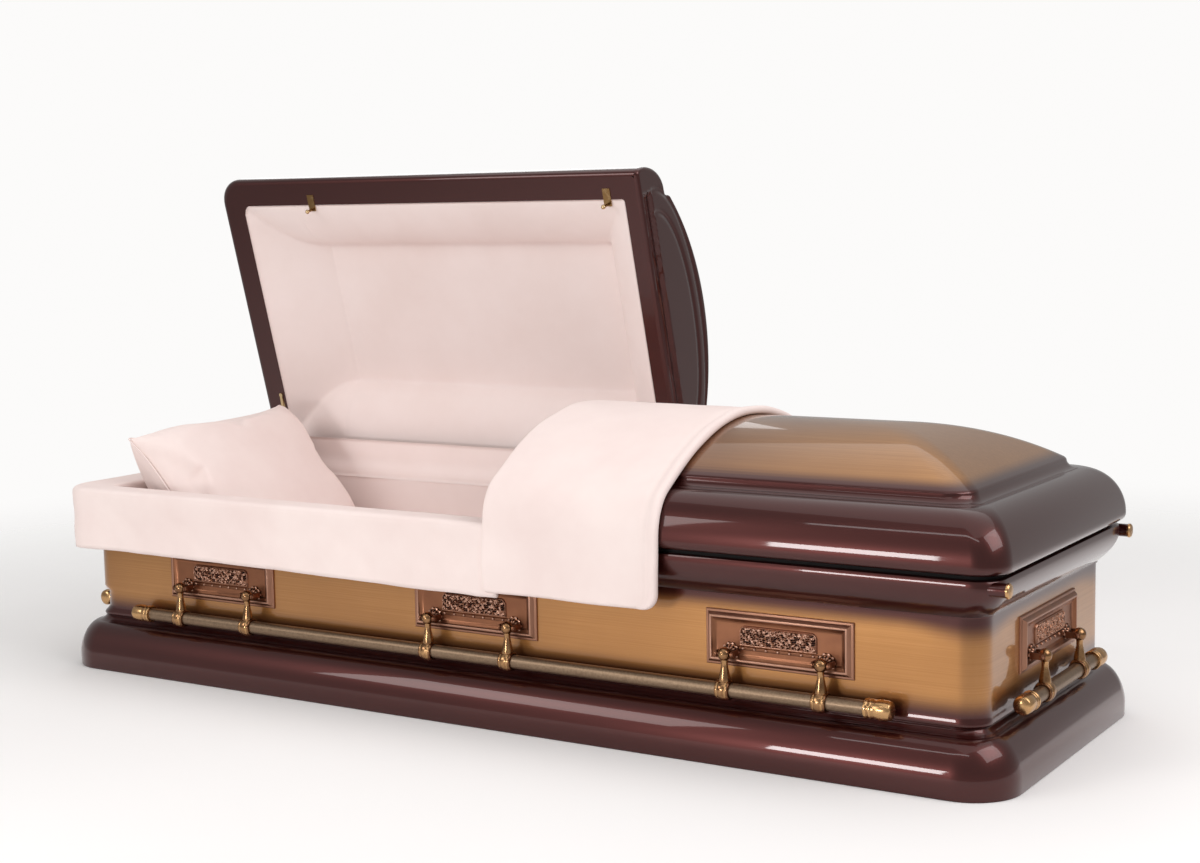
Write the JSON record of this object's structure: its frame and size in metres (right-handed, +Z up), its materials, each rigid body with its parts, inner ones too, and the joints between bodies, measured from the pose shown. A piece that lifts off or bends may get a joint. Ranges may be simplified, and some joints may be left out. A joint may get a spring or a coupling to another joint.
{
  "type": "funeral casket",
  "caption": "Half-couch steel casket with two hinged lids, swing-bar handles, padded interior, pillow, rim valance and a folded throw",
  "frame": {"origin": "middle of the underside of the base moulding", "axes": "+X runs along the length to the foot end, -Y is the front, +Z is up"},
  "size_m": [2.13, 0.8337, 1.0456],
  "materials": {
    "paint": "high-gloss maroon paint",
    "lid_paint": "gloss maroon paint blended into brushed copper on the crown",
    "brushed_copper": "brushed steel, copper tint under clear lacquer, shaded to maroon",
    "plates": "stamped steel, antique copper plating",
    "arms": "cast zinc, antique brass plating",
    "bars": "steel tube, brushed olive bronze",
    "bar_caps": "cast zinc, antique brass plating",
    "brass_fittings": "satin brass",
    "rubber": "matt black",
    "lining_cloth": "pale pink crepe over padding",
    "velvet": "pale pink velvet"
  },
  "bodies": {
    "root": {"back_foot_plate": "plates", "back_head_plate": "plates", "back_middle_plate": "plates", "back_port_cap": "brass_fittings", "back_port_tube": "paint", "base_moulding": "paint", "body_lining": "lining_cloth", "foot_end_plate": "plates", "foot_hinge_leaf": "brass_fittings", "front_foot_plate": "plates", "front_head_plate": "plates", "front_middle_plate": "plates", "front_port_cap": "brass_fittings", "front_port_tube": "paint", "gasket": "rubber", "head_end_plate": "plates", "head_hinge_leaf": "brass_fittings", "pillow": "velvet", "shell": "brushed_copper", "valance": "velvet"},
    "head_lid": {"head_hinge_barrel": "brass_fittings", "head_lid": "lid_paint", "head_lid_catch_1": "brass_fittings", "head_lid_catch_2": "brass_fittings", "head_lid_lining": "lining_cloth", "head_lid_stay": "brass_fittings"},
    "foot_lid": {"foot_hinge_barrel": "brass_fittings", "foot_lid": "lid_paint", "foot_lid_lining": "lining_cloth", "throw": "velvet"},
    "front_bar": {"front_arm_1": "arms", "front_arm_2": "arms", "front_arm_3": "arms", "front_arm_4": "arms", "front_arm_5": "arms", "front_arm_6": "arms", "front_bar": "bars", "front_bar_cap_1": "bar_caps", "front_bar_cap_2": "bar_caps"},
    "back_bar": {"back_arm_1": "arms", "back_arm_2": "arms", "back_arm_3": "arms", "back_arm_4": "arms", "back_arm_5": "arms", "back_arm_6": "arms", "back_bar": "bars", "back_bar_cap_1": "bar_caps", "back_bar_cap_2": "bar_caps"},
    "foot_end_bar": {"foot_end_arm_1": "arms", "foot_end_arm_2": "arms", "foot_end_bar": "bars", "foot_end_bar_cap_1": "bar_caps", "foot_end_bar_cap_2": "bar_caps"},
    "head_end_bar": {"head_end_arm_1": "arms", "head_end_arm_2": "arms", "head_end_bar": "bars", "head_end_bar_cap_1": "bar_caps", "head_end_bar_cap_2": "bar_caps"}
  },
  "joints": [
    {"name": "head_lid_hinge", "type": "hinge", "parent": "root", "child": "head_lid", "pos_m": [0, 0.3465, 0.3655], "axis": [1, 0, 0], "range_deg": [0, 75], "deforming": ["valance", "pillow"]},
    {"name": "foot_lid_hinge", "type": "hinge", "parent": "root", "child": "foot_lid", "pos_m": [0, 0.3465, 0.3655], "axis": [-1, 0, 0], "range_deg": [0, 75]},
    {"name": "front_bar_swing", "type": "hinge", "parent": "root", "child": "front_bar", "pos_m": [0, -0.3375, 0.193], "axis": [-1, 0, 0], "range_deg": [0, 90]},
    {"name": "back_bar_swing", "type": "hinge", "parent": "root", "child": "back_bar", "pos_m": [0, 0.3375, 0.193], "axis": [1, 0, 0], "range_deg": [0, 90]},
    {"name": "foot_end_bar_swing", "type": "hinge", "parent": "root", "child": "foot_end_bar", "pos_m": [1.0395, 0, 0.193], "axis": [0, -1, 0], "range_deg": [0, 90]},
    {"name": "head_end_bar_swing", "type": "hinge", "parent": "root", "child": "head_end_bar", "pos_m": [-1.0395, 0, 0.193], "axis": [0, 1, 0], "range_deg": [0, 90]}
  ]
}
